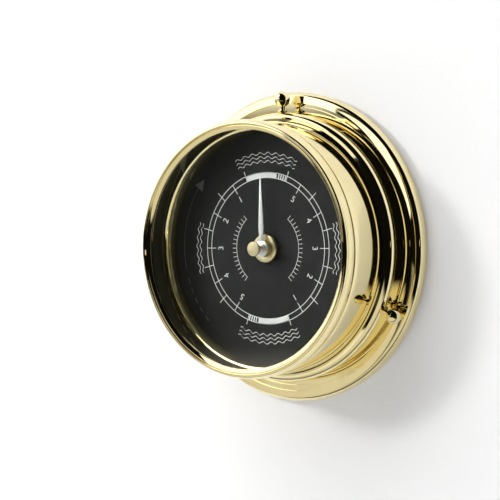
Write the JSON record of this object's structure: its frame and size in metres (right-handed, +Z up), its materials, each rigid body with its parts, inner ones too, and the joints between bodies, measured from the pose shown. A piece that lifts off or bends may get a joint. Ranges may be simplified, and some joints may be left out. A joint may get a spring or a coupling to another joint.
{
  "type": "tide clock",
  "caption": "Wall-mounted round brass tide clock with black dial, single hand, domed bezel, glass, flanged wall ring and ball-headed clamp screws.",
  "frame": {"origin": "centre of the wall ring's back face, on the wall", "axes": "-Y out of the wall towards the viewer, +Z up, +X to the right seen from the front"},
  "size_m": [0.155, 0.05, 0.1554],
  "materials": {
    "polished_brass": "polished and lacquered",
    "clear_glass": "clear, polished",
    "black_dial": "satin black print",
    "silver_hand": "satin silver",
    "white_plastic": "moulded",
    "steel": "turned",
    "magnet": "sintered",
    "black_plastic": "moulded",
    "battery_sleeve": "plain printed sleeve",
    "spring_steel": "bright plated",
    "copper_wire": "enamelled winding",
    "board_green": "solder mask"
  },
  "bodies": {
    "wall_mount": {"wall_ring": "polished_brass"},
    "clock_case": {"case_drum": "polished_brass", "bezel": "polished_brass", "glass": "clear_glass", "glass_sleeve": "polished_brass", "reflector_ring": "polished_brass", "dial_plate": "black_dial", "centre_washer": "polished_brass", "centre_nut": "polished_brass", "threaded_bush": "polished_brass", "movement_shell": "black_plastic", "movement_cover": "black_plastic", "battery": "battery_sleeve", "contact_plus": "spring_steel", "contact_minus": "spring_steel", "stator": "steel", "coil_winding": "copper_wire", "circuit_board": "board_green", "quartz_crystal": "spring_steel"},
    "screw_top": {"ball_screw_top": "polished_brass"},
    "screw_right": {"ball_screw_right": "polished_brass"},
    "screw_left": {"ball_screw_left": "polished_brass"},
    "hand": {"tide_hand": "silver_hand", "hand_cap": "polished_brass", "tide_wheel": "white_plastic"},
    "motion": {"motion_wheel": "white_plastic"},
    "setting": {"centre_arbor": "steel", "setting_knob": "black_plastic"},
    "second": {"second_wheel": "white_plastic"},
    "third": {"third_wheel": "white_plastic"},
    "centre": {"centre_wheel": "white_plastic"},
    "fast": {"fast_wheel": "white_plastic"},
    "rotor_body": {"rotor": "magnet"}
  },
  "joints": [
    {"name": "case_slide", "type": "slide", "parent": "wall_mount", "child": "clock_case", "axis": [0, -1, 0], "range_m": [0, 0.02]},
    {"name": "screw_top_travel", "type": "slide", "parent": "wall_mount", "child": "screw_top", "axis": [0, 0, 1], "range_m": [0, 0.003]},
    {"name": "screw_right_travel", "type": "slide", "parent": "wall_mount", "child": "screw_right", "axis": [0.891, 0, -0.454], "range_m": [0, 0.003]},
    {"name": "screw_left_travel", "type": "slide", "parent": "wall_mount", "child": "screw_left", "axis": [-0.891, 0, -0.454], "range_m": [0, 0.003]},
    {"name": "hand_turn", "type": "hinge", "parent": "clock_case", "child": "hand", "pos_m": [0, -0.024, 0], "axis": [0, 1, 0], "continuous": true},
    {"name": "motion_turn", "type": "hinge", "parent": "clock_case", "child": "motion", "pos_m": [-0.00901, -0.022, 0.0052], "axis": [0, 1, 0], "continuous": true},
    {"name": "arbor_turn", "type": "hinge", "parent": "clock_case", "child": "setting", "pos_m": [0, -0.012, 0], "axis": [0, 1, 0], "continuous": true},
    {"name": "second_turn", "type": "hinge", "parent": "clock_case", "child": "second", "pos_m": [0.01321, -0.016, 0.01329], "axis": [0, 1, 0], "continuous": true},
    {"name": "third_turn", "type": "hinge", "parent": "clock_case", "child": "third", "pos_m": [0.00831, -0.018, 0.0048], "axis": [0, 1, 0], "continuous": true},
    {"name": "centre_turn", "type": "hinge", "parent": "clock_case", "child": "centre", "pos_m": [0, -0.0195, 0], "axis": [0, 1, 0], "continuous": true},
    {"name": "fast_turn", "type": "hinge", "parent": "clock_case", "child": "fast", "pos_m": [0.00386, -0.0195, 0.01869], "axis": [0, 1, 0], "continuous": true},
    {"name": "rotor_turn", "type": "hinge", "parent": "clock_case", "child": "rotor_body", "pos_m": [-0.00464, -0.017, 0.01869], "axis": [0, 1, 0], "continuous": true}
  ],
  "couplings": [
    {"joint": "motion_turn", "follows": "hand_turn", "ratio": -3.3333},
    {"joint": "arbor_turn", "follows": "hand_turn", "ratio": 12.424},
    {"joint": "third_turn", "follows": "second_turn", "ratio": -0.16667},
    {"joint": "centre_turn", "follows": "second_turn", "ratio": 0.033333},
    {"joint": "fast_turn", "follows": "second_turn", "ratio": -8},
    {"joint": "rotor_turn", "follows": "second_turn", "ratio": 60}
  ]
}
